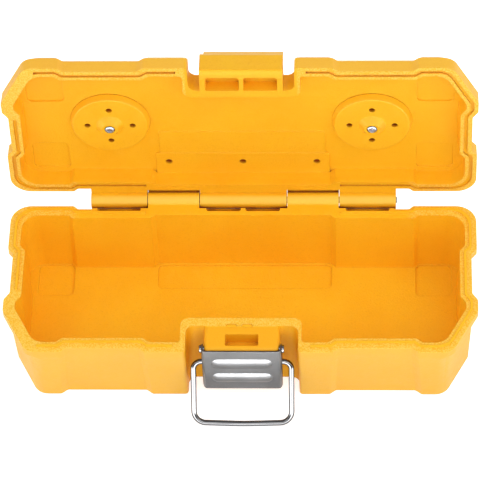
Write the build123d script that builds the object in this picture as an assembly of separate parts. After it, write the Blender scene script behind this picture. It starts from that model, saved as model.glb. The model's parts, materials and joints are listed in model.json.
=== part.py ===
from build123d import *
import os
from math import acos, atan2, cos, degrees, hypot, radians, sin, sqrt

# A wide, shallow tool-bit case, moulded in two shells that meet at a parting plane, with a five-knuckle
# hinge behind and a stamped draw latch with a wire bail in front. It is modelled with the lid open.
# Millimetres. +X to the right, +Y to the back (the hinge), +Z up. The origin is the middle of the underside.

# ---- outline of both shells at the parting plane ---------------------------------------------------
case_width = 274.0          # across the corner ears
case_depth = 108.0          # front face to the back corner bumps
side_recess = 3.2           # how far the side panels stand inside the ears
ear_start = 29.7            # from the front face, where the front chamfer reaches the ear
ear_end = 37.9
side_recess_start = 42.6
side_recess_end = 71.9
side_bump_start = 75.8
front_corner_x = 121.8      # half width of the front face
front_recess = 2.9          # how far the two front panels stand inside the front face
front_recess_outer = 102.5  # half widths that bound the front panels
front_recess_inner = 53.8
back_recess = 2.4           # how far the hinge panel stands inside the back corner bumps
back_recess_x = 100.1
jog = 3.5                   # run of each slope between a bump and a recess
corner_r = 9.0              # the front corners
back_corner_r = 12.0
ear_r = 3.0
jog_r = 2.0

# ---- shells ----------------------------------------------------------------------------------------
base_height = 49.0          # underside to parting plane
lid_height = 13.7           # parting gap to the top of the lid
parting_gap = 0.3
floor_t = 3.6
panel_t = 3.0               # top panel of the lid
rim_width = 6.8
rim_height = 5.0            # straight face of the rim flange
flange_overhang = 3.2       # the rim stands this far outside the side and back walls
front_draft = 6.2           # how far each wall's foot stands inside the rim
chamfer_draft = 6.1
side_draft = 4.9
wall = 3.2
inner_draft = 0.8           # the cavity narrows this much towards its bottom, behind the rim
foot_break = 0.4            # bevel round the underside
lid_wall_height = 8.1       # straight face of the lid's wall, below its top bevel
lid_panel_draft = 1.2
lid_back_rim = 5.9          # the lid's rim at the back
lid_back_draft = 0.0
back_step = 2.4             # the back wall's inside stands this much further out in the middle
back_step_half = 51.4
back_step_run = 2.8         # run of the slope at each end of that step
tongue_width = 1.5
tongue_height = 1.2
tongue_inset = 3.7          # the tongue's middle, from the rim's outer edge
back_tongue_inset = 2.9
back_tongue_end = 57.5      # half width of the stretch at the back without a tongue
groove_clearance = 0.35

# ---- latch notch, block and catch ------------------------------------------------------------------
latch_x = 1.65              # the latch stands a little to the right of the middle
notch_depth = 19.0
notch_half = 32.3           # in the base
lid_notch_half = 30.4
notch_r = 5.0
notch_wall = 5.5
left_notch_wall = 3.1
right_notch_wall = 1.9
block_half = 21.7
block_corner_r = 2.4
block_drop = 0.3            # the block's top, below the parting plane
block_front = 1.4           # from the front face
block_edge_r = 2.6          # clears the lever's plate as it swings over
block_pocket_half = 9.5
block_pocket_start = 4.6
block_pocket_end = 12.9
block_pocket_depth = 8.0
tab_half = 23.8
tab_front = 3.2             # from the front face
tab_pocket_outer = 20.5
tab_pocket_inner = 1.25
tab_pocket_start = 8.6
tab_pocket_end = 19.3
tab_pocket_depth = 7.2

# ---- latch lever, its pin and the bail --------------------------------------------------------------
sheet = 1.0                 # thickness of the lever
lever_play = 0.35           # between the ears and the block, each side
lever_gap = 0.5             # between the lever's plate and the block
lever_height = 34.5
bend_r = 2.6                # outside radius between the plate and an ear
lip = 1.8                   # the folded edge of the plate below the ears
plate_corner_r = 2.0        # the plate's lower corners
lever_below_parting = 0.3   # the lever's top edge
pivot_behind_plate = 3.5    # the lever's pin, from the plate's inner face
pivot_below_parting = 3.0
ear_radius = 2.7            # round the lever's pin
eye_radius = 3.0            # round the bail's end
lever_pin_d = 3.0
pin_head_d = 4.6
pin_head_t = 1.1
running_fit = 0.06          # radial clearance of a pin in a hole it turns in
snug_fit = 0.03             # radial clearance of a pin in a hole that holds it
swing_gap = 0.3             # round the lever's swing
wire_d = 3.2
bail_half = 28.2            # middle of the bail's legs, from the latch's middle
bail_below_pivot = 12.4
bail_behind_pivot = 0.4
bail_end_inside = 1.9       # how far a bail end reaches past the ear's inner face
bail_bend_r = 4.6
bail_corner_r = 7.0
bail_bow = 0.8              # sag of the bail's bar between its corners
floor_gap = 0.05            # the bail's bar over the ground
rib_half = 17.5             # the embossed ribs of the lever
rib_drops = (11.1, 24.2)    # from the lever's top edge
rib_r = 7.5
rib_rise = 1.3
seat_back = 15.0            # where the bail's bar sits on the catch, from the front face
seat_rise = 5.75            # underside of the bar over the lid's top
seat_gap = 0.5
hook_inset = 2.0            # the hook's ends stand this far inside the tab's sides

# ---- hinge -----------------------------------------------------------------------------------------
knuckle_r = 4.85
hinge_back = 5.9            # the pin, from the back bumps
hinge_drop = 1.5            # the pin, below the middle of the parting gap
hinge_pin_d = 4.0
hinge_half = 90.0
knuckle_ends = (25.8, 56.5) # half widths where one shell's knuckle gives way to the other's
knuckle_gap = 0.4           # between neighbouring knuckles
pin_overhang = 0.6          # the pin stands out at the right end
leaf_reach = 0.8            # the base's leaf stands this far out behind the rim
leaf_t = 5.0
leaf_corner_r = 1.8
lid_leaf_reach = 1.2        # the lid's leaf
lid_leaf_height = 8.0
saddle_drop = 4.0           # the saddle under the knuckles, below the parting plane
saddle_t = 2.4              # under the barrel
saddle_gap = 0.4            # between the saddle and the lid's knuckles
pocket_wall = 3.8           # between the end of a knuckle and its relief pocket
pocket_depth = 7.5
stop_front = 3.6            # the stops behind the base's knuckles, from the pin
stop_back = 6.0
stop_gap = 0.3              # between a stop and the open lid's leaf

# ---- discs in the lid --------------------------------------------------------------------------------
disc_x = 76.0
disc_y = 56.6               # from the front face
disc_r = 23.2               # at the back; its side tapers
disc_face_r = 21.9
disc_t = 3.8
disc_edge_r = 1.0
disc_gap = 0.3              # between the disc and the lid's panel
disc_hole_pcd = 26.2
disc_hole_r = 1.8
boss_r = 7.9
boss_top_r = 4.6
boss_rise = 3.2
boss_web = 1.5              # the boss's end, between the hub and the screw's head
hub_r = 4.0
screw_head_r = 2.7
screw_head_t = 1.5
screw_r = 1.5
screw_length = 7.5
screw_recess = 1.2          # depth of the head's recess in the boss
disc_play = 0.3             # axial and radial play between a disc and its screw

# ---- pads and holes inside the shells ----------------------------------------------------------------
pad_depth = 1.1
pad_r = 3.0
mid_pad_half = 51.8
base_mid_pad_start = 82.0
corner_pad = (101.8, 123.2) # half widths that bound the corner pads
base_corner_pad_start = 76.5
base_pad_end = 97.5
lid_front_pad = (18.4, 40.2)
lid_back_pad = (76.3, 98.6)
lid_step_start = 66.0
lid_step_half = 48.5
lid_strip_start = 84.7
lid_strip_end = 102.5
lid_strip_half = 51.0
lid_step_rise = 0.5
rail_hole_x = 43.5
rail_hole_y = 92.2
rail_hole_r = 2.0
rail_hole_depth = 2.2

front = -case_depth / 2
back = case_depth / 2
half = case_width / 2
hinge_y = back + hinge_back
hinge_z = base_height + parting_gap / 2 - hinge_drop
lid_z = base_height + parting_gap
lid_top = lid_z + lid_height
pivot_y = front + block_front - lever_gap + pivot_behind_plate
pivot_z = base_height - pivot_below_parting
bail_y = pivot_y + bail_behind_pivot
bail_z = pivot_z - bail_below_pivot
seat_y = front + seat_back
seat_z = lid_top + seat_rise + wire_d / 2
bail_length = hypot(seat_y - bail_y, seat_z - bail_z)
bail_drop = min(bail_length, bail_z - wire_d / 2 - floor_gap)
bail_lean = degrees(acos(bail_drop / bail_length))
swing_r = hypot(pivot_behind_plate + sheet, pivot_below_parting - lever_below_parting)
disc_back = lid_top - panel_t - disc_gap
disc_face = disc_back - disc_t
boss_end = disc_face - boss_rise
hub_end = boss_end + screw_recess + boss_web + disc_play
bail_latched = 180 + degrees(atan2(seat_y - bail_y, seat_z - bail_z)) - bail_lean


def outline(half_notch):
    """The shells' outline: its corners, each edge's kind after the corner, and each corner's radius."""
    right = [
        (latch_x + half_notch, front, "front", jog_r),
        (front_recess_inner, front, "front", jog_r),
        (front_recess_inner + jog, front + front_recess, "front", jog_r),
        (front_recess_outer - jog, front + front_recess, "front", jog_r),
        (front_recess_outer, front, "front", jog_r),
        (front_corner_x, front, "chamfer", corner_r),
        (half, front + ear_start, "side", ear_r),
        (half, front + ear_end, "side", ear_r),
        (half - side_recess, front + side_recess_start, "side", jog_r),
        (half - side_recess, front + side_recess_end, "side", jog_r),
        (half, front + side_bump_start, "side", jog_r),
        (half, back, "back", back_corner_r),
        (back_recess_x, back, "back", jog_r),
        (back_recess_x - back_recess, back - back_recess, "back", jog_r),
    ]
    left = []
    for i in range(len(right) - 1, -1, -1):
        x, y, _, r = right[i]
        kind = right[i - 1][2] if i else "notch_left"
        left.append((-x if i else latch_x - half_notch, y, kind, r))
    notch = [
        (latch_x - half_notch, front + notch_depth, "notch", notch_r),
        (latch_x + half_notch, front + notch_depth, "notch_right", notch_r),
    ]
    return right + left + notch


def inset(points, insets):
    """The outline's corners after each edge has moved inwards by its kind's inset."""
    n = len(points)
    lines = []
    for i in range(n):
        (x0, y0, kind, _), (x1, y1, _, _) = points[i], points[(i + 1) % n]
        length = hypot(x1 - x0, y1 - y0)
        nx, ny = -(y1 - y0) / length, (x1 - x0) / length
        lines.append((nx, ny, nx * x0 + ny * y0 + insets[kind]))
    moved = []
    for i in range(n):
        (a, b, c), (d, e, f) = lines[i - 1], lines[i]
        det = a * e - b * d
        moved.append(((c * e - b * f) / det, (a * f - c * d) / det))
    return moved


def section(half_notch, insets, z):
    """One rounded cross-section of a shell at height z."""
    points = outline(half_notch)
    corners = inset(points, insets)
    edges = []
    n = len(corners)
    tangents = []
    for i in range(n):
        before, here, after = Vector(*corners[i - 1]), Vector(*corners[i]), Vector(*corners[(i + 1) % n])
        a, b = (before - here).normalized(), (after - here).normalized()
        turn = radians(180 - a.get_angle(b))
        tan_half = sin(turn / 2) / cos(turn / 2)
        r = min(points[i][3], 0.45 * min((before - here).length, (after - here).length) / tan_half)
        tangents.append((here + a * r * tan_half, here, here + b * r * tan_half, turn, r))
    for i in range(n):
        start, here, end, turn, r = tangents[i]
        inward = ((start - here).normalized() + (end - here).normalized()).normalized()
        middle = here + inward * (r / cos(turn / 2) - r)
        edges.append(ThreePointArc(start, middle, end))
        edges.append(Line(end, tangents[(i + 1) % n][0]))
    return Pos(0, 0, z) * make_face(Wire(edges))


def insets(front_in, chamfer_in, side_in, back_in, notch_in=0.0, left_in=0.0, right_in=0.0):
    """How far each kind of edge moves inwards; the last three are the latch notch's."""
    return {
        "front": front_in,
        "chamfer": chamfer_in,
        "side": side_in,
        "back": back_in,
        "notch": notch_in,
        "notch_left": left_in,
        "notch_right": right_in,
    }


def even(v):
    """The same inset on every edge."""
    return insets(v, v, v, v, v, v, v)


def stack(half_notch, levels):
    """A solid through a run of (height, insets) sections, straight between them."""
    body = None
    for (z0, low), (z1, high) in zip(levels, levels[1:]):
        slab = loft([section(half_notch, low, z0), section(half_notch, high, z1)], ruled=True)
        body = slab if body is None else body + slab
    return body


def block(x0, x1, y0, y1, z0, z1, r=0.0):
    """A box between two corners, its upright edges rounded by r."""
    box = Pos((x0 + x1) / 2, (y0 + y1) / 2, (z0 + z1) / 2) * Box(x1 - x0, y1 - y0, z1 - z0)
    r = min(r, 0.45 * (x1 - x0), 0.45 * (y1 - y0))
    return fillet(box.edges().filter_by(Axis.Z), r) if r else box


def profile_x(points, x0, x1):
    """A prism along X from a (y, z) outline."""
    plane = Plane(origin=(x0, 0, 0), x_dir=(0, 1, 0), z_dir=(1, 0, 0))
    return extrude(plane * make_face(Polyline(*points, close=True)), x1 - x0)


def rod(x0, x1, y, z, r):
    """A round bar along X."""
    return Pos((x0 + x1) / 2, y, z) * Rot(0, 90, 0) * Cylinder(r, x1 - x0)


def rim_bead(half_notch, width, z0, z1):
    """The ridge round the rim between the shells, except at the notch, the left ear and the back's middle."""
    outer = even(tongue_inset - width / 2)
    outer["back"] = back_tongue_inset - width / 2
    inner = even(tongue_inset + width / 2)
    inner["back"] = back_tongue_inset + width / 2
    ring = stack(half_notch, [(z0, outer), (z1, outer)])
    ring -= stack(half_notch, [(z0, inner), (z1, inner)])
    spare = (width - tongue_width) / 2
    reach = half_notch + 7 - spare
    end = front + notch_depth + 2 * rim_width
    ring -= block(latch_x - reach, latch_x + reach, front - 1, end, z0 - 1, z1 + 1)
    ear_x, ear_y = -front_corner_x + 6 - spare, front + side_recess_start + 2 - spare
    ring -= block(-half - 1, ear_x, front - 1, ear_y, z0 - 1, z1 + 1)
    gap = back_tongue_end - spare
    return ring - block(-gap, gap, 0, back + 1, z0 - 1, z1 + 1)


def base_walls():
    """The tray: a drafted wall under a straight-faced rim flange."""
    zf = base_height - rim_height
    zt = zf - flange_overhang
    share = front_draft * rim_height / base_height
    at_foot = insets(front_draft, chamfer_draft, side_draft, side_draft)
    bevelled = insets(*[v + foot_break for v in (front_draft, chamfer_draft, side_draft, side_draft)])
    at_neck = insets(share, flange_overhang, flange_overhang, flange_overhang)
    levels = [(0, bevelled), (foot_break, at_foot), (zt, at_neck), (zf, even(0)), (base_height, even(0))]
    return stack(notch_half, levels)


def base_cavity():
    walls = notch_wall, left_notch_wall, right_notch_wall
    deep = rim_width + inner_draft
    at_floor = insets(front_draft + wall, chamfer_draft + wall, side_draft + wall, deep, *walls)
    at_rim = insets(rim_width, rim_width, rim_width, rim_width, *walls)
    return stack(notch_half, [(floor_t, at_floor), (base_height + 1, at_rim)])


def back_step_hollow(y, z0, z1):
    """What the step in the middle of a back wall's inside takes away, out to y, with sloped ends."""
    near, far = back_step_half, back_step_half + back_step_run
    inner = y - back_step
    corners = [(-far, inner), (-near, y), (near, y), (far, inner), (far, inner - 4), (-far, inner - 4)]
    return extrude(Pos(0, 0, z0) * make_face(Polyline(*corners, close=True)), z1 - z0)


def back_bump():
    """The back wall's middle stands out under the hinge, as much as the corner bumps do."""
    top = base_height - rim_height
    x = back_step_half + back_step_run + wall
    solid = block(-x, x, back - 9, back - back_recess - 0.8, foot_break, top)
    inside = back - back_recess - rim_width + back_step
    return solid, back_step_hollow(inside, floor_t, base_height + 1)


def floor_pads():
    """Shallow hollows in the floor, over the feet."""
    z0, z1 = floor_t - pad_depth, floor_t + 1
    end = front + base_pad_end + 2.4
    pads = block(-mid_pad_half, mid_pad_half, front + base_mid_pad_start, end, z0, z1, pad_r)
    for s in (-1, 1):
        x0, x1 = sorted((s * corner_pad[0], s * corner_pad[1]))
        pads += block(x0, x1, front + base_corner_pad_start, end, z0, z1, pad_r)
    return pads


def latch_block():
    """The block in the notch that the lever hangs on, narrower below the pin to clear the bail's ends."""
    y0, y1 = front + block_front, front + notch_depth + 1
    upper = block(-block_half, block_half, y0, y1, pivot_z - 5, base_height - block_drop)
    upper = fillet(upper.edges().filter_by(Axis.Z).group_by(Axis.Y)[0], block_corner_r)
    upper = fillet(upper.edges().filter_by(Axis.X).group_by(Axis.Y)[0].group_by(Axis.Z)[-1], block_edge_r)
    inner = block_half + lever_play - bail_end_inside - 1.0
    lower = profile_x([(y0, pivot_z - 5), (y0, 22), (y1, 6), (y1, pivot_z - 5)], -inner, inner)
    body = upper + lower
    body -= block(
        -block_pocket_half, block_pocket_half, front + block_pocket_start, front + block_pocket_end,
        base_height - block_pocket_depth, base_height + 1, 1.0,
    )
    return Pos(latch_x, 0, 0) * body


def knuckle_spans(mine):
    """The (x0, x1) stretches of the base's or the lid's knuckles."""
    a, b = knuckle_ends
    g = knuckle_gap / 2
    if mine == "base":
        return [(-b + g, -a - g), (a + g, b - g)]
    return [(-hinge_half, -b - g), (-a + g, a - g), (b + g, hinge_half)]


def base_hinge():
    """The base's two knuckles on a leaf, the saddle under the barrel, the lid's stops, and the cuts."""
    rim_back = back - back_recess
    leaf_back = rim_back + leaf_reach
    ledge = base_height - saddle_drop
    low = hinge_z - knuckle_r - saddle_t
    leaf = block(-hinge_half, hinge_half, rim_back - 2, leaf_back, base_height - leaf_t, base_height)
    leaf = fillet(leaf.edges().filter_by(Axis.Z).group_by(Axis.Y)[-1], min(leaf_corner_r, leaf_reach + 1))
    saddle = [
        (rim_back - 2, ledge),
        (hinge_y - 0.4, ledge),
        (hinge_y - 0.4, low),
        (rim_back + 2.4, low - 0.8),
        (rim_back - 2, low - 3.2),
    ]
    added = leaf + profile_x(saddle, -hinge_half, hinge_half)
    for x0, x1 in knuckle_spans("lid"):
        x0, x1 = x0 - knuckle_gap, x1 + knuckle_gap
        added -= rod(x0, x1, hinge_y, hinge_z, knuckle_r + saddle_gap)
    stop_top = hinge_z + hinge_y - rim_back - lid_leaf_reach - stop_gap
    stop = [
        (hinge_y + stop_front, stop_top),
        (hinge_y + stop_back, stop_top),
        (hinge_y + stop_back, hinge_z + 0.5),
        (hinge_y + stop_front + 0.2, hinge_z - 2.4),
        (hinge_y + stop_front, hinge_z - 2.4),
    ]
    for x0, x1 in knuckle_spans("base"):
        added += rod(x0, x1, hinge_y, hinge_z, knuckle_r)
        added += block(x0, x1, leaf_back - 1, hinge_y, ledge - 1, base_height)
        added += profile_x(stop, x0, x1)
    removed = rod(-hinge_half - 1, hinge_half + 2, hinge_y, hinge_z, hinge_pin_d / 2 + snug_fit)
    pockets = []
    bottom, top = base_height - pocket_depth, base_height + 1
    for x0, x1 in knuckle_spans("lid"):
        if x0 < 0 < x1:
            pockets += [(x0 + pocket_wall, -1.4), (1.4, x1 - pocket_wall)]
        else:
            pockets += [(x0 + pocket_wall, x1 - pocket_wall)]
    for x0, x1 in pockets:
        removed += block(x0, x1, rim_back - 1.3, leaf_back + 3, bottom, top, 1.2)
    return added, removed


def pry_nicks():
    """Two shallow nicks in the rim behind the latch block."""
    nicks = None
    y = front + notch_depth
    for x in (-4.6, 4.6):
        nick = block(x - 3.1, x + 3.1, y - 1.2, y + 1.3, base_height - 0.9, base_height + 1, 1.1)
        nicks = nick if nicks is None else nicks + nick
    return nicks


def base_shell():
    bump, bump_hollow = back_bump()
    added, removed = base_hinge()
    body = base_walls() + bump + added
    body = body - base_cavity() - bump_hollow - floor_pads() - removed
    body += latch_block()
    body -= pry_nicks()
    body += rim_bead(notch_half, tongue_width, base_height - 0.5, base_height + tongue_height)
    bore = rod(-block_half - 1, block_half + 1, pivot_y, pivot_z, lever_pin_d / 2 + snug_fit)
    return body - Pos(latch_x, 0, 0) * bore


def lid_walls():
    """The lid's closed outside: a straight wall, a bevel and the top panel, and a leaf along the hinge."""
    bevel = lid_height - lid_wall_height
    at_bevel = insets(0.2, 0.2, 0.2, 0.2)
    near_top = insets(bevel - 1.5, bevel - 1.5, bevel - 1.5, bevel - 1.5)
    at_top = insets(bevel, bevel, bevel, bevel, 1.5, 1.5, 1.5)
    z = lid_z + lid_wall_height
    levels = [(lid_z, even(0)), (z, at_bevel), (lid_top - 1.5, near_top), (lid_top, at_top)]
    rim_back = back - back_recess
    leaf = [
        (rim_back - 3, lid_z),
        (rim_back + lid_leaf_reach, lid_z),
        (rim_back + lid_leaf_reach, lid_z + lid_leaf_height),
        (rim_back - 1, lid_top - 0.9),
        (rim_back - 7, lid_top - 0.9),
        (rim_back - 7, lid_top - 2),
        (rim_back - 3, lid_top - 4),
    ]
    return stack(lid_notch_half, levels) + profile_x(leaf, -hinge_half, hinge_half)


def lid_cavity():
    deep = rim_width + lid_panel_draft
    walls = notch_wall, left_notch_wall, left_notch_wall
    at_rim = insets(rim_width, rim_width, rim_width, lid_back_rim, *walls)
    at_panel = insets(deep, deep, deep, lid_back_rim + lid_back_draft, *[w + 0.6 for w in walls])
    hollow = stack(lid_notch_half, [(lid_z - 1, at_rim), (lid_top - panel_t, at_panel)])
    inside = back - back_recess - lid_back_rim + back_step
    return hollow + back_step_hollow(inside, lid_z - 1, lid_top - panel_t)


def lid_panel_details():
    """What stands on the panel and what is sunk in it: (added, removed)."""
    z = lid_top - panel_t
    end = front + lid_strip_end
    low = z - lid_step_rise
    added = block(-lid_step_half, lid_step_half, front + lid_step_start, end, low, z + 1, 1.5)
    low -= lid_step_rise
    added += block(-lid_strip_half, lid_strip_half, front + lid_strip_start, end, low, z + 1, 1.5)
    removed = None
    for s in (-1, 1):
        for y0, y1 in (lid_front_pad, lid_back_pad):
            x0, x1 = sorted((s * corner_pad[0], s * corner_pad[1]))
            pad = block(x0, x1, front + y0, front + y1, z - 1, z + pad_depth, pad_r)
            removed = pad if removed is None else removed + pad
    for x in (-rail_hole_x, 0, rail_hole_x):
        depth = rail_hole_depth + 2 * lid_step_rise
        hole = Pos(x, front + rail_hole_y, z - 2 * lid_step_rise + depth / 2) * Cylinder(rail_hole_r, depth)
        removed += hole
    return added, removed


def disc_hubs():
    """Posts on the panel that the discs turn on, and the holes for their screws."""
    z = lid_top - panel_t
    hubs = None
    bores = None
    for s in (-1, 1):
        x, y = s * disc_x, front + disc_y
        hub = Pos(x, y, (z + 0.5 + hub_end) / 2) * Cylinder(hub_r, z + 0.5 - hub_end)
        end = boss_end + screw_recess - disc_play + screw_length + 0.6
        bore = Pos(x, y, (hub_end - 1 + end) / 2) * Cylinder(screw_r + snug_fit, end - hub_end + 1)
        hubs = hub if hubs is None else hubs + hub
        bores = bore if bores is None else bores + bore
    return hubs, bores


def catch():
    """The tab over the latch block, with the seat that the bail's bar is drawn down on."""
    bar_bottom = seat_z - wire_d / 2 - seat_gap - bail_bow
    y0 = front + tab_front
    lip = seat_y - wire_d / 2 - seat_gap
    profile = [
        (y0, lid_z),
        (y0, lid_top - 0.6),
        (lip - 3.2, seat_z + 0.6),
        (lip - 0.8, seat_z + 0.6),
        (lip, bar_bottom),
        (seat_y + 3.0, bar_bottom),
        (seat_y + 7.5, lid_top - 0.5),
        (seat_y + 7.5, lid_top - panel_t),
        (front + notch_depth + 1, lid_top - panel_t),
        (front + notch_depth + 1, lid_z),
    ]
    body = profile_x(profile, -tab_half, tab_half)
    body = fillet(body.edges().filter_by(Axis.Z).group_by(Axis.Y)[0], 1.2)
    for s in (-1, 1):
        x0, x1 = sorted((s * (tab_half - hook_inset), s * (tab_half + 1)))
        body -= block(x0, x1, y0 + 2.0, front + notch_depth + 2, lid_top + 0.6, seat_z + 2)
        x0, x1 = sorted((s * tab_pocket_inner, s * tab_pocket_outer))
        y0, y1 = front + tab_pocket_start, front + tab_pocket_end
        body -= block(x0, x1, y0, y1, lid_z - 1, lid_z + tab_pocket_depth, 1.2)
    body -= rod(-tab_half - 1, tab_half + 1, pivot_y, pivot_z, swing_r + swing_gap)
    return Pos(latch_x, 0, 0) * body


def lid_hinge():
    """The lid's three knuckles, each joined to the lid's leaf by a web that is level with the rim."""
    added = None
    rim_back = back - back_recess
    for x0, x1 in knuckle_spans("lid"):
        knuckle = rod(x0, x1, hinge_y, hinge_z, knuckle_r)
        knuckle += block(x0, x1, rim_back - 2, hinge_y, lid_z, hinge_z + knuckle_r)
        added = knuckle if added is None else added + knuckle
    removed = rod(-hinge_half - 1, hinge_half + 2, hinge_y, hinge_z, hinge_pin_d / 2 + running_fit)
    return added, removed


def open_lid(part):
    """Turns a closed piece of the lid back by a quarter turn about the hinge pin."""
    return part.rotate(Axis((0, hinge_y, hinge_z), (1, 0, 0)), -90)


def lid_shell():
    added, removed = lid_panel_details()
    knuckles, bore = lid_hinge()
    hubs, screw_bores = disc_hubs()
    width = tongue_width + 2 * groove_clearance
    groove = rim_bead(lid_notch_half, width, lid_z - 1, lid_z + tongue_height + 0.2)
    body = lid_walls() - lid_cavity() + added + hubs + catch() + knuckles
    body = body - removed - screw_bores - bore - groove
    return open_lid(body)


def disc(side):
    """One round plate with four holes and a tapered boss, bored for its hub and recessed for its screw."""
    plate = Pos(0, 0, (disc_back + disc_face) / 2) * Cone(disc_face_r, disc_r, disc_t)
    plate = fillet(plate.edges().group_by(Axis.Z)[0], disc_edge_r)
    height = disc_back - 1 - boss_end
    slope = (boss_r - boss_top_r) / boss_rise
    plate += Pos(0, 0, boss_end + height / 2) * Cone(boss_top_r, boss_top_r + slope * height, height)
    seat = boss_end + screw_recess
    socket = seat + boss_web
    plate -= Pos(0, 0, (socket + disc_back + 1) / 2) * Cylinder(hub_r + running_fit, disc_back + 1 - socket)
    plate -= Pos(0, 0, (boss_end - 1 + seat) / 2) * Cylinder(screw_head_r + disc_play, screw_recess + 1)
    plate -= Pos(0, 0, seat) * Cylinder(screw_r + disc_play, 3 * boss_web)
    for i in range(4):
        hole = Rot(0, 0, 90 * i) * Pos(disc_hole_pcd / 2, 0, disc_face)
        plate -= hole * Cylinder(disc_hole_r, 3 * disc_t)
    return open_lid(Pos(side * disc_x, front + disc_y, 0) * plate)


def disc_screw(side):
    """The pan-head screw that holds a disc on its hub, with a cross recess."""
    z = boss_end + screw_recess - disc_play
    head = Pos(0, 0, z - screw_head_t / 2) * Cylinder(screw_head_r, screw_head_t)
    head = fillet(head.edges().group_by(Axis.Z)[0], 0.7)
    shank = Pos(0, 0, z + screw_length / 2) * Cylinder(screw_r, screw_length)
    cross = None
    for turn in (0, 90):
        slot = Rot(0, 0, turn) * Pos(0, 0, z - screw_head_t) * Box(3.0, 0.6, 1.0)
        cross = slot if cross is None else cross + slot
    return open_lid(Pos(side * disc_x, front + disc_y, 0) * (head + shank - cross))


def hinge_pin():
    pin = rod(-hinge_half, hinge_half + pin_overhang, hinge_y, hinge_z, hinge_pin_d / 2)
    return chamfer(pin.edges().group_by(Axis.X)[-1], 0.4)


def lever_sides():
    """The lever's outline from the side: the plate's folded edge, and an ear round the pin and the bail."""
    y_in = pivot_y - pivot_behind_plate
    y_out = y_in - sheet
    top = base_height - lever_below_parting
    bottom = top - lever_height
    width = 2 * (block_half + lever_play + sheet) + 2
    outline = [
        (y_out - 1, top),
        (y_in + 0.1, top),
        (pivot_y, pivot_z + ear_radius),
        (pivot_y + ear_radius, pivot_z),
        (bail_y + eye_radius, bail_z),
        (bail_y, bail_z - eye_radius),
        (y_in + lip, bail_z - 11),
        (y_in + lip, bottom),
        (y_out - 1, bottom),
    ]
    sides = profile_x(outline, -width / 2, width / 2)
    sides += rod(-width / 2, width / 2, pivot_y, pivot_z, ear_radius)
    return sides + rod(-width / 2, width / 2, bail_y, bail_z, eye_radius)


def latch_lever():
    """The stamped lever: a plate with two raised ribs, folded back at each side into an ear."""
    inner = block_half + lever_play
    outer = inner + sheet
    y_in = pivot_y - pivot_behind_plate
    y_out = y_in - sheet
    top = base_height - lever_below_parting
    bottom = top - lever_height
    body = block(-outer, outer, y_out, pivot_y + 12, bottom, top)
    body = fillet(body.edges().filter_by(Axis.Z).group_by(Axis.Y)[0], bend_r)
    core = block(-inner, inner, y_in, pivot_y + 13, bottom - 1, top + 1)
    core = fillet(core.edges().filter_by(Axis.Z).group_by(Axis.Y)[0], bend_r - sheet)
    body = (body - core) & lever_sides()
    r = plate_corner_r
    for s in (-1, 1):
        x, z = s * (outer - r), bottom + r
        corner = Pos(x + s * r, y_in, z - r) * Box(2 * r, 8, 2 * r)
        body -= corner - Pos(x, y_in, z) * Rot(90, 0, 0) * Cylinder(r, 9)
    for drop in rib_drops:
        centre = y_out - rib_rise + rib_r
        body += rib(rib_r, centre, top - drop)
        body -= rib(rib_r - sheet, centre, top - drop)
    body -= rod(-outer - 1, outer + 1, pivot_y, pivot_z, lever_pin_d / 2 + running_fit)
    body -= rod(-outer - 1, outer + 1, bail_y, bail_z, wire_d / 2 + running_fit)
    return Pos(latch_x, 0, 0) * body


def rib(r, y, z):
    """A shallow round-ended swelling along X, the tool that raises a rib in front of the plate."""
    face = pivot_y - pivot_behind_plate
    reach = rib_half - sqrt(rib_r**2 - (rib_r - rib_rise) ** 2)
    bar = rod(-reach, reach, y, z, r)
    for s in (-1, 1):
        bar += Pos(s * reach, y, z) * Sphere(r)
    return bar - block(-rib_half - r, rib_half + r, face, y + 2 * r, z - 2 * r, z + 2 * r)


def lever_pin():
    """The lever's pin, upset into a round head at both ends."""
    reach = block_half + lever_play + sheet + 0.15
    pin = rod(-reach, reach, pivot_y, pivot_z, lever_pin_d / 2)
    for s in (-1, 1):
        x0, x1 = sorted((s * reach, s * (reach + pin_head_t)))
        head = rod(x0, x1, pivot_y, pivot_z, pin_head_d / 2)
        pin += fillet(head.edges().group_by(Axis.X)[-1 if s > 0 else 0], 0.6)
    return Pos(latch_x, 0, 0) * pin


def latch_bail():
    """The wire loop, its two ends turned inwards through the lever's ears, leaning on the ground."""
    end = block_half + lever_play - bail_end_inside
    path = FilletPolyline(
        (-end, 0, 0),
        (-bail_half, 0, 0),
        (-bail_half, 0, -bail_length + bail_bow),
        (0, 0, -bail_length),
        (bail_half, 0, -bail_length + bail_bow),
        (bail_half, 0, 0),
        (end, 0, 0),
        radius=[bail_bend_r, bail_corner_r, 200.0, bail_corner_r, bail_bend_r],
    )
    profile = Plane(origin=(-end, 0, 0), z_dir=(-1, 0, 0)) * Circle(wire_d / 2)
    wire = sweep(profile, path=path)
    return Pos(latch_x, bail_y, bail_z) * Rot(-bail_lean, 0, 0) * wire


def build():
    return {
        "base_shell": base_shell(),
        "lid_shell": lid_shell(),
        "hinge_pin": hinge_pin(),
        "latch_lever": latch_lever(),
        "lever_pin": lever_pin(),
        "latch_bail": latch_bail(),
        "left_disc": disc(-1),
        "right_disc": disc(1),
        "left_disc_screw": disc_screw(-1),
        "right_disc_screw": disc_screw(1),
    }


os.makedirs("parts", exist_ok=True)
for name, part in build().items():
    part.label = name
    export_step(part, f"parts/{name}.step")
print("hinge pin at", hinge_y, hinge_z)
print("lever pin at", pivot_y, pivot_z)
print("bail ends at", bail_y, bail_z, "length", bail_length, "lean", bail_lean, "latched at", bail_latched)
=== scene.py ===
import bpy
import json
import math
from mathutils import Matrix, Vector

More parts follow.
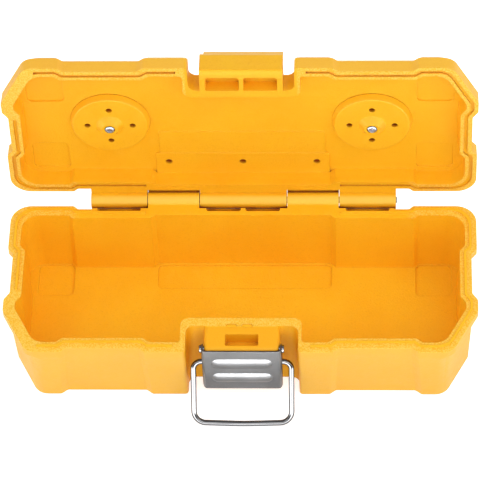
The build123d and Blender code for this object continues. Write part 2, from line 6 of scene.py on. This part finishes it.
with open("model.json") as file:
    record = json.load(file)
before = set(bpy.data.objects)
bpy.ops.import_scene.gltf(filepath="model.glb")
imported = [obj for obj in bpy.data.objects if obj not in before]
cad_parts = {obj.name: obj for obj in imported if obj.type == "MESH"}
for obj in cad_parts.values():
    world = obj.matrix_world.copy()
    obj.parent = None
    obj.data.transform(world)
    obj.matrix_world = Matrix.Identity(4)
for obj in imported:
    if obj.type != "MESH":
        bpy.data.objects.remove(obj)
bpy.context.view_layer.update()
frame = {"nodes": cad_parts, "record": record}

nodes = frame["nodes"]


# ---------------------------------------------------------------------------------------------------
# node helpers
# ---------------------------------------------------------------------------------------------------
class Tree:
    """A short way to write a node tree."""

    def __init__(self, tree):
        self.tree = tree

    def add(self, kind, inputs=None, **settings):
        node = self.tree.nodes.new(kind)
        for key, value in settings.items():
            setattr(node, key, value)
        for key, value in (inputs or {}).items():
            self.plug(node.inputs[key], value)
        return node

    def plug(self, socket, value):
        if isinstance(value, bpy.types.NodeSocket):
            self.tree.links.new(value, socket)
        else:
            socket.default_value = value

    def math(self, operation, a, b=0.0, clamp=False):
        node = self.add("ShaderNodeMath", {0: a, 1: b}, operation=operation, use_clamp=clamp)
        return node.outputs[0]

    def mix(self, factor, a, b):
        node = self.add("ShaderNodeMix", data_type="RGBA")
        self.plug(node.inputs[0], factor)
        self.plug(node.inputs[6], a)
        self.plug(node.inputs[7], b)
        return node.outputs[2]

    def ramp(self, value, low, high, to_low=0.0, to_high=1.0):
        node = self.add("ShaderNodeMapRange", {0: value, 1: low, 2: high, 3: to_low, 4: to_high})
        node.interpolation_type = "SMOOTHSTEP"
        return node.outputs[0]

    def noise(self, vector, scale, detail=2.0, roughness=0.5):
        inputs = {"Vector": vector, "Scale": scale, "Detail": detail, "Roughness": roughness}
        return self.add("ShaderNodeTexNoise", inputs).outputs[0]

    def bump(self, height, distance, strength=1.0, normal=None):
        node = self.add("ShaderNodeBump", {"Height": height, "Distance": distance, "Strength": strength})
        if normal is not None:
            self.plug(node.inputs["Normal"], normal)
        return node.outputs[0]


def new_material(name):
    material = bpy.data.materials.new(name)
    material.use_nodes = True
    material.node_tree.nodes.clear()
    t = Tree(material.node_tree)
    out = t.add("ShaderNodeOutputMaterial")
    shader = t.add("ShaderNodeBsdfPrincipled")
    t.plug(out.inputs["Surface"], shader.outputs[0])
    return material, t, shader


def srgb(r, g, b):
    """A colour written as screen values, 0 to 255."""
    def linear(c):
        return c / 255 / 12.92 if c <= 10 else ((c / 255 + 0.055) / 1.055) ** 2.4
    return linear(r), linear(g), linear(b), 1.0


# ---------------------------------------------------------------------------------------------------
# materials
# ---------------------------------------------------------------------------------------------------
# Places on the CAD part that the masks of painted sheen, painted shade and the painted highlight follow, in
# metres, with the lid open as it is stored.
LATCH_X = 0.00165
HINGE_Y, HINGE_Z = 0.0599, 0.04765
KNUCKLE_HALF = 0.0050
BASE_RIM_Z, BASE_RIDGE_Z = 0.0484, 0.0495
LID_RIM_Y = 0.0620
NOTCH_HALF, NOTCH_BACK_Y = 0.0335, -0.0358
HINGE_END_X = 0.0985         # beyond the last knuckle
WALL_DRAFT = 0.088           # the front and corner walls lean by this much
# how far the painted brown shade in slots, holes and corners reaches
CREVICE_REACH = 0.007


def above(t, value, edge, width=0.0006):
    """1 where the value is over the edge, with a short soft step."""
    return t.ramp(value, edge - width, edge + width)


def past(t, value, edge, lean, z, width=0.0003):
    """1 where the value is over an edge that moves out with height, as the drafted walls do."""
    moved = t.math("SUBTRACT", value, t.math("MULTIPLY", z, lean))
    return above(t, moved, edge, width)


def base_outside(t, place):
    """Masks of the base's outer walls, of its rim and of its latch notch, where painted sheen and painted
    shade go.
    """
    way = t.add("ShaderNodeSeparateXYZ", {0: place})
    x, y, z = way.outputs
    wide = t.math("ABSOLUTE", x)
    slant = t.math("SUBTRACT", t.math("MULTIPLY", wide, 0.890), t.math("MULTIPLY", y, 0.4555))
    ahead = t.math("MULTIPLY", y, -1.0)
    walls = t.math("MAXIMUM", past(t, wide, 0.1290, 0.065, z), past(t, ahead, 0.0449, WALL_DRAFT, z))
    walls = t.math("MAXIMUM", walls, past(t, slant, 0.1253, WALL_DRAFT, z))
    aside = t.math("ABSOLUTE", t.math("SUBTRACT", x, LATCH_X))
    walls = t.math("MULTIPLY", walls, t.math("MAXIMUM", above(t, aside, 0.0330), above(t, y, 0.0)))
    walls = t.math("MULTIPLY", walls, t.math("SUBTRACT", 1.0, above(t, z, BASE_RIM_Z, 0.0003)))
    block = t.math("MAXIMUM", above(t, aside, 0.0240), above(t, y, -0.0354))
    rim = t.math("MULTIPLY", above(t, z, BASE_RIM_Z, 0.0003), block)
    rim = t.math("MULTIPLY", rim, t.math("SUBTRACT", 1.0, above(t, z, BASE_RIDGE_Z, 0.0002)))
    hinge = t.math("SUBTRACT", 1.0, above(t, y, 0.0400, 0.002))
    hinge = t.math("MAXIMUM", hinge, above(t, wide, HINGE_END_X, 0.003))
    notch = t.math("MULTIPLY", t.math("SUBTRACT", 1.0, above(t, aside, NOTCH_HALF)),
                   t.math("SUBTRACT", 1.0, above(t, y, NOTCH_BACK_Y)))
    return walls, t.math("MULTIPLY", rim, hinge), notch


def painted_knuckle_highlight(t, place):
    """1 along the crest of the hinge's knuckles, where a highlight is painted."""
    way = t.add("ShaderNodeSeparateXYZ", {0: place})
    y = t.math("SUBTRACT", way.outputs[1], HINGE_Y)
    z = t.math("SUBTRACT", way.outputs[2], HINGE_Z)
    out = t.math("SUBTRACT", t.math("MULTIPLY", z, 0.77), t.math("MULTIPLY", y, 0.63))
    span = t.math("SUBTRACT", t.math("ABSOLUTE", y), KNUCKLE_HALF)
    span = t.math("MAXIMUM", span, t.math("SUBTRACT", t.math("ABSOLUTE", z), KNUCKLE_HALF))
    near = t.math("SUBTRACT", 1.0, above(t, span, 0.0))
    return t.math("MULTIPLY", t.ramp(out, 0.0036, 0.0047), near)


def lid_outside(t, place):
    """Masks of the lid's outer walls and of its rim, both without its tab and knuckles, where painted sheen
    goes. It has no notch.
    """
    way = t.add("ShaderNodeSeparateXYZ", {0: place})
    x, y, z = way.outputs
    wide = t.math("ABSOLUTE", x)
    rim = t.math("SUBTRACT", 1.0, above(t, y, LID_RIM_Y, 0.0003))
    walls = t.math("MAXIMUM", above(t, z, 0.1500), above(t, wide, 0.1330))
    tab = above(t, t.math("ABSOLUTE", t.math("SUBTRACT", x, LATCH_X)), 0.0320)
    tab = t.math("MAXIMUM", tab, t.math("SUBTRACT", 1.0, above(t, z, 0.1200)))
    hinge = t.math("MAXIMUM", above(t, z, 0.0640, 0.002), above(t, wide, HINGE_END_X, 0.003))
    keep = t.math("MULTIPLY", tab, hinge)
    rim = t.math("MULTIPLY", rim, keep)
    walls = t.math("SUBTRACT", walls, rim, clamp=True)
    walls = t.math("MULTIPLY", walls, t.math("MULTIPLY", keep, 0.55))
    return walls, rim, None


def moulded_plastic(name, hue, deep, outside=None, grain=1.0, gloss=0.50):
    """Grained polypropylene: pebbles, a slow drift of tone, painted sheen paler on the rim and walls with
    grit on the rim, painted shade deeper orange in the notch and brown in slots, holes and corners, and a
    painted highlight on the hinge's knuckles.
    """
    material, t, shader = new_material(name)
    place = t.add("ShaderNodeTexCoord").outputs["Object"]
    drift = t.noise(place, 22.0, 3.0)
    mottle = t.noise(place, 260.0, 4.0, 0.6)
    speck = t.noise(place, 900.0, 2.0, 0.7)
    tone = t.mix(t.ramp(drift, 0.35, 0.68), hue, deep)
    tone = t.mix(t.ramp(mottle, 0.35, 0.75, 0.0, 0.12), tone, srgb(255, 200, 70))
    tone = t.mix(t.ramp(speck, 0.30, 0.48, 0.16, 0.0), tone, srgb(214, 136, 20))
    if outside:
        walls, rim, notch = outside(t, place)
        if notch is not None:
            # painted shade: a deeper orange on the latch notch's walls
            tone = t.mix(t.math("MULTIPLY", notch, 0.75), tone, srgb(250, 174, 18))
        # painted sheen: the outer walls paler
        tone = t.mix(t.math("MULTIPLY", walls, 0.55), tone, srgb(244, 186, 82))
        # painted sheen on the rim's top, speckled by a fine grit
        grit = t.noise(place, 1150.0, 1.5, 0.6)
        rim_sheen_and_grit = t.mix(t.ramp(grit, 0.40, 0.60), srgb(242, 184, 46), srgb(255, 216, 104))
        tone = t.mix(t.math("MULTIPLY", rim, 0.62), tone, rim_sheen_and_grit)
        # painted highlight: a pale band along the crest of the hinge's knuckles
        tone = t.mix(t.math("MULTIPLY", painted_knuckle_highlight(t, place), 0.5), tone, srgb(255, 214, 96))
    # painted shade: brown where the surface is hemmed in, as in slots, holes and corners
    painted_crevice_shade = t.add("ShaderNodeAmbientOcclusion", {"Distance": CREVICE_REACH}, samples=8)
    tone = t.mix(t.ramp(painted_crevice_shade.outputs["AO"], 0.12, 0.42, 0.92, 0.0), tone, srgb(150, 38, 24))
    cells = {"Vector": place, "Scale": 1150.0, "Randomness": 1.0}
    pebbles = t.add("ShaderNodeTexVoronoi", cells, feature="SMOOTH_F1")
    fine = t.noise(place, 2600.0, 2.0)
    height = t.math("ADD", t.math("MULTIPLY", pebbles.outputs[0], 0.8), t.math("MULTIPLY", fine, 0.35))
    edge = t.add("ShaderNodeBevel", {"Radius": 0.00045}, samples=6)
    normal = t.bump(height, 0.00014 * grain, 1.0, edge.outputs[0])
    rough = t.ramp(mottle, 0.3, 0.7, gloss - 0.05, gloss + 0.07)
    t.plug(shader.inputs["Base Color"], tone)
    t.plug(shader.inputs["Roughness"], rough)
    t.plug(shader.inputs["Normal"], normal)
    shader.inputs["Specular IOR Level"].default_value = 0.32
    return material


def plated_sheet(name):
    """Satin nickel on rolled sheet: a faint brush along X and small speckles."""
    material, t, shader = new_material(name)
    place = t.add("ShaderNodeTexCoord").outputs["Object"]
    stretched = t.add("ShaderNodeMapping", {"Vector": place, "Scale": (60.0, 1500.0, 1500.0)})
    brush = t.noise(stretched.outputs[0], 1.0, 3.0, 0.6)
    speckle = t.noise(place, 900.0, 3.0, 0.7)
    cloud = t.noise(place, 60.0, 2.0)
    tone = t.mix(t.ramp(cloud, 0.35, 0.7), (0.165, 0.167, 0.170, 1), (0.195, 0.197, 0.200, 1))
    tone = t.mix(t.ramp(speckle, 0.55, 0.8, 0.0, 0.5), tone, (0.27, 0.27, 0.27, 1))
    rough = t.ramp(brush, 0.2, 0.8, 0.30, 0.42)
    edge = t.add("ShaderNodeBevel", {"Radius": 0.0003}, samples=6)
    height = t.math("ADD", t.math("MULTIPLY", brush, 0.4), t.math("MULTIPLY", speckle, 0.6))
    t.plug(shader.inputs["Base Color"], tone)
    t.plug(shader.inputs["Roughness"], rough)
    t.plug(shader.inputs["Normal"], t.bump(height, 0.00002, 0.6, edge.outputs[0]))
    shader.inputs["Metallic"].default_value = 1.0
    return material


def bright_metal(name, colour, rough, rim):
    """Plated wire or turned steel, with fine scratches and a darker tint at its edges."""
    material, t, shader = new_material(name)
    place = t.add("ShaderNodeTexCoord").outputs["Object"]
    scratch = t.noise(place, 700.0, 3.0, 0.6)
    cloud = t.noise(place, 120.0, 2.0)
    tone = t.mix(t.ramp(cloud, 0.3, 0.75, 0.0, 0.35), colour, tuple(0.7 * c for c in colour[:3]) + (1.0,))
    t.plug(shader.inputs["Base Color"], tone)
    t.plug(shader.inputs["Roughness"], t.ramp(scratch, 0.3, 0.8, rough, rough + 0.1))
    t.plug(shader.inputs["Normal"], t.bump(scratch, 0.00001, 0.3))
    shader.inputs["Metallic"].default_value = 1.0
    shader.inputs["Specular Tint"].default_value = (rim, rim, rim, 1.0)
    return material


# base and lid are one plastic: the base's hue is painted a little lighter and the lid's a little darker, as
# painted light and painted shade for the light each one gets
base_hue = srgb(252, 195, 30), srgb(250, 187, 25)
lid_hue = srgb(245, 186, 26), srgb(244, 179, 22)
disc_hue = srgb(246, 187, 31), srgb(246, 182, 23)
MATERIALS = {
    "base_plastic": moulded_plastic("base_plastic_grain", *base_hue, base_outside),
    "lid_plastic": moulded_plastic("lid_plastic_grain", *lid_hue, lid_outside, 0.85),
    "disc_plastic": moulded_plastic("disc_plastic_grain", *disc_hue, None, 0.6, 0.46),
    "lever_steel": plated_sheet("lever_plating"),
    "wire": bright_metal("bail_wire_plating", (0.17, 0.17, 0.175, 1), 0.07, 0.03),
    "pin_steel": bright_metal("pin_steel_bright", (0.24, 0.24, 0.25, 1), 0.16, 0.2),
    "screw_zinc": bright_metal("screw_zinc_blue", (0.30, 0.36, 0.44, 1), 0.36, 0.4),
}
for row in frame["record"]["subparts"]:
    node = nodes[row["node"]]
    node.data.materials.clear()
    node.data.materials.append(MATERIALS[row["material_slot"]])


# ---------------------------------------------------------------------------------------------------
# smooth shading of the CAD nodes
# ---------------------------------------------------------------------------------------------------
def smooth_group(angle):
    """Joins a mesh's split corners and smooths every edge flatter than the angle."""
    group = bpy.data.node_groups.new("smooth_by_angle", "GeometryNodeTree")
    group.interface.new_socket("Geometry", in_out="INPUT", socket_type="NodeSocketGeometry")
    group.interface.new_socket("Geometry", in_out="OUTPUT", socket_type="NodeSocketGeometry")
    t = Tree(group)
    source = t.add("NodeGroupInput")
    target = t.add("NodeGroupOutput")
    merged = t.add("GeometryNodeMergeByDistance", {"Geometry": source.outputs[0], "Distance": 2e-6})
    rounded = {"Geometry": merged.outputs[0], "Shade Smooth": True}
    faces = t.add("GeometryNodeSetShadeSmooth", rounded, domain="FACE")
    bend = t.add("GeometryNodeInputMeshEdgeAngle")
    sharp = t.add("FunctionNodeCompare", data_type="FLOAT", operation="GREATER_THAN")
    t.plug(sharp.inputs[0], bend.outputs[0])
    t.plug(sharp.inputs[1], angle)
    creased = {"Geometry": faces.outputs[0], "Shade Smooth": False}
    edges = t.add("GeometryNodeSetShadeSmooth", creased, domain="EDGE")
    t.plug(edges.inputs["Selection"], sharp.outputs[0])
    t.plug(target.inputs[0], edges.outputs[0])
    return group


SMOOTH_BELOW = math.radians(28)
smoothing = smooth_group(SMOOTH_BELOW)
for node in nodes.values():
    modifier = node.modifiers.new("smooth_by_angle", "NODES")
    modifier.node_group = smoothing


# ---------------------------------------------------------------------------------------------------
# stage: floor, lamps, world, camera
# ---------------------------------------------------------------------------------------------------
FLOOR_HALF = 6.0
FLOOR_DROP = 0.0002      # under the case's underside, so that the two faces don't fight
FLOOR_GLOW = 0.66        # lifts the floor to white, and leaves the case's shadow on it
FRONT_SHINE = 11.5       # the band and the floor in front, seen by glossy rays only
FRONT_DARK = 0.12        # over that band, for glossy rays
SOFTBOX = 2.8            # high in front, for glossy rays
GREY_TOP = 0.35          # overhead, for glossy rays
SKY_LEVEL = 0.84         # the even light of the room
LAMP_AIM = 0, 0, 0.05


def make_floor():
    mesh = bpy.data.meshes.new("floor")
    r = FLOOR_HALF
    mesh.from_pydata([(-r, -r, 0), (r, -r, 0), (r, r, 0), (-r, r, 0)], [], [(0, 1, 2, 3)])
    floor = bpy.data.objects.new("floor", mesh)
    bpy.context.scene.collection.objects.link(floor)
    floor.location.z = -FLOOR_DROP
    material = bpy.data.materials.new("pale_floor")
    material.use_nodes = True
    material.node_tree.nodes.clear()
    t = Tree(material.node_tree)
    out = t.add("ShaderNodeOutputMaterial")
    diffuse = t.add("ShaderNodeBsdfDiffuse", {"Color": (0.88, 0.88, 0.88, 1)})
    path = t.add("ShaderNodeLightPath")
    place = t.add("ShaderNodeSeparateXYZ", {0: t.add("ShaderNodeTexCoord").outputs["Object"]})
    shine = t.ramp(place.outputs[1], -0.24, -0.13, FRONT_SHINE, FLOOR_GLOW)
    shine = t.math("MULTIPLY", shine, path.outputs["Is Glossy Ray"])
    seen = t.math("MAXIMUM", path.outputs["Is Camera Ray"], path.outputs["Is Transmission Ray"])
    strength = t.math("MAXIMUM", t.math("MULTIPLY", seen, FLOOR_GLOW), shine)
    glow = t.add("ShaderNodeEmission", {"Color": (1, 1, 1, 1), "Strength": strength})
    both = t.add("ShaderNodeAddShader", {0: diffuse.outputs[0], 1: glow.outputs[0]})
    t.plug(out.inputs["Surface"], both.outputs[0])
    mesh.materials.append(material)


def lamp(name, place, size, power):
    """An area lamp that looks at the case."""
    light = bpy.data.lights.new(name, "AREA")
    light.shape = "RECTANGLE"
    light.size, light.size_y = size
    light.energy = power
    obj = bpy.data.objects.new(name, light)
    bpy.context.scene.collection.objects.link(obj)
    obj.location = place
    obj.rotation_mode = "QUATERNION"
    obj.rotation_quaternion = (Vector(LAMP_AIM) - Vector(place)).to_track_quat("-Z", "Y")


def make_world():
    """White for the camera; for metal and gloss, a bright band in front, a softbox and a grey top."""
    world = bpy.data.worlds.new("studio")
    bpy.context.scene.world = world
    world.use_nodes = True
    world.node_tree.nodes.clear()
    t = Tree(world.node_tree)
    out = t.add("ShaderNodeOutputWorld")
    path = t.add("ShaderNodeLightPath")
    way = t.add("ShaderNodeSeparateXYZ", {0: t.add("ShaderNodeTexCoord").outputs["Generated"]})
    front = t.ramp(way.outputs[1], -0.75, -0.25, 1.0, 0.0)
    band = t.ramp(way.outputs[2], 0.10, 0.30, FRONT_SHINE, FRONT_DARK)
    softbox = t.ramp(way.outputs[2], 0.48, 0.66, 0.0, SOFTBOX - FRONT_DARK)
    softbox = t.math("MULTIPLY", softbox, t.ramp(way.outputs[2], 0.86, 0.95, 1.0, 0.0))
    before = t.math("MULTIPLY", front, t.math("ADD", band, softbox))
    behind = t.ramp(way.outputs[2], 0.25, 0.60, 1.0, GREY_TOP)
    glossy = t.math("ADD", before, t.math("MULTIPLY", t.math("SUBTRACT", 1.0, front), behind))
    glossy = t.math("MULTIPLY", glossy, path.outputs["Is Glossy Ray"])
    seen = t.math("MAXIMUM", path.outputs["Is Camera Ray"], path.outputs["Is Transmission Ray"])
    strength = t.math("MAXIMUM", seen, glossy)
    plain = t.math("SUBTRACT", 1.0, t.math("MAXIMUM", seen, path.outputs["Is Glossy Ray"]))
    strength = t.math("ADD", strength, t.math("MULTIPLY", plain, SKY_LEVEL))
    ground = t.add("ShaderNodeBackground", {"Color": (1, 1, 1, 1), "Strength": strength})
    t.plug(out.inputs["Surface"], ground.outputs[0])


def make_camera():
    """The photograph's camera, fitted to the outline of the case."""
    e, psi, roll = math.radians(50.737), math.radians(3.84), math.radians(-2.959)
    ahead = Vector((-math.sin(psi) * math.cos(e), math.cos(psi) * math.cos(e), -math.sin(e)))
    level = Vector((math.cos(psi), math.sin(psi), 0))
    up = level.cross(ahead)
    right_axis = level * math.cos(roll) + up * math.sin(roll)
    up_axis = up * math.cos(roll) - level * math.sin(roll)
    target = Vector((-0.001386, 0.03062, 0.046))
    data = bpy.data.cameras.new("photo_camera")
    data.sensor_width = 36.0
    data.lens = 251.92
    data.clip_start, data.clip_end = 0.1, 50.0
    camera = bpy.data.objects.new("photo_camera", data)
    bpy.context.scene.collection.objects.link(camera)
    rotation = Matrix((right_axis, up_axis, -ahead)).transposed()
    camera.matrix_world = Matrix.Translation(target - ahead * 1.96918) @ rotation.to_4x4()
    bpy.context.scene.camera = camera


make_floor()
make_world()
lamp("key", (0.4, -1.15, 1.42), (1.5, 0.9), 6.4)
lamp("fill", (1.2, -0.6, 1.0), (1.0, 1.0), 2.9)
lamp("left_fill", (-1.2, -0.6, 1.0), (1.0, 1.0), 1.8)
make_camera()
bpy.context.scene.view_settings.view_transform = "Standard"
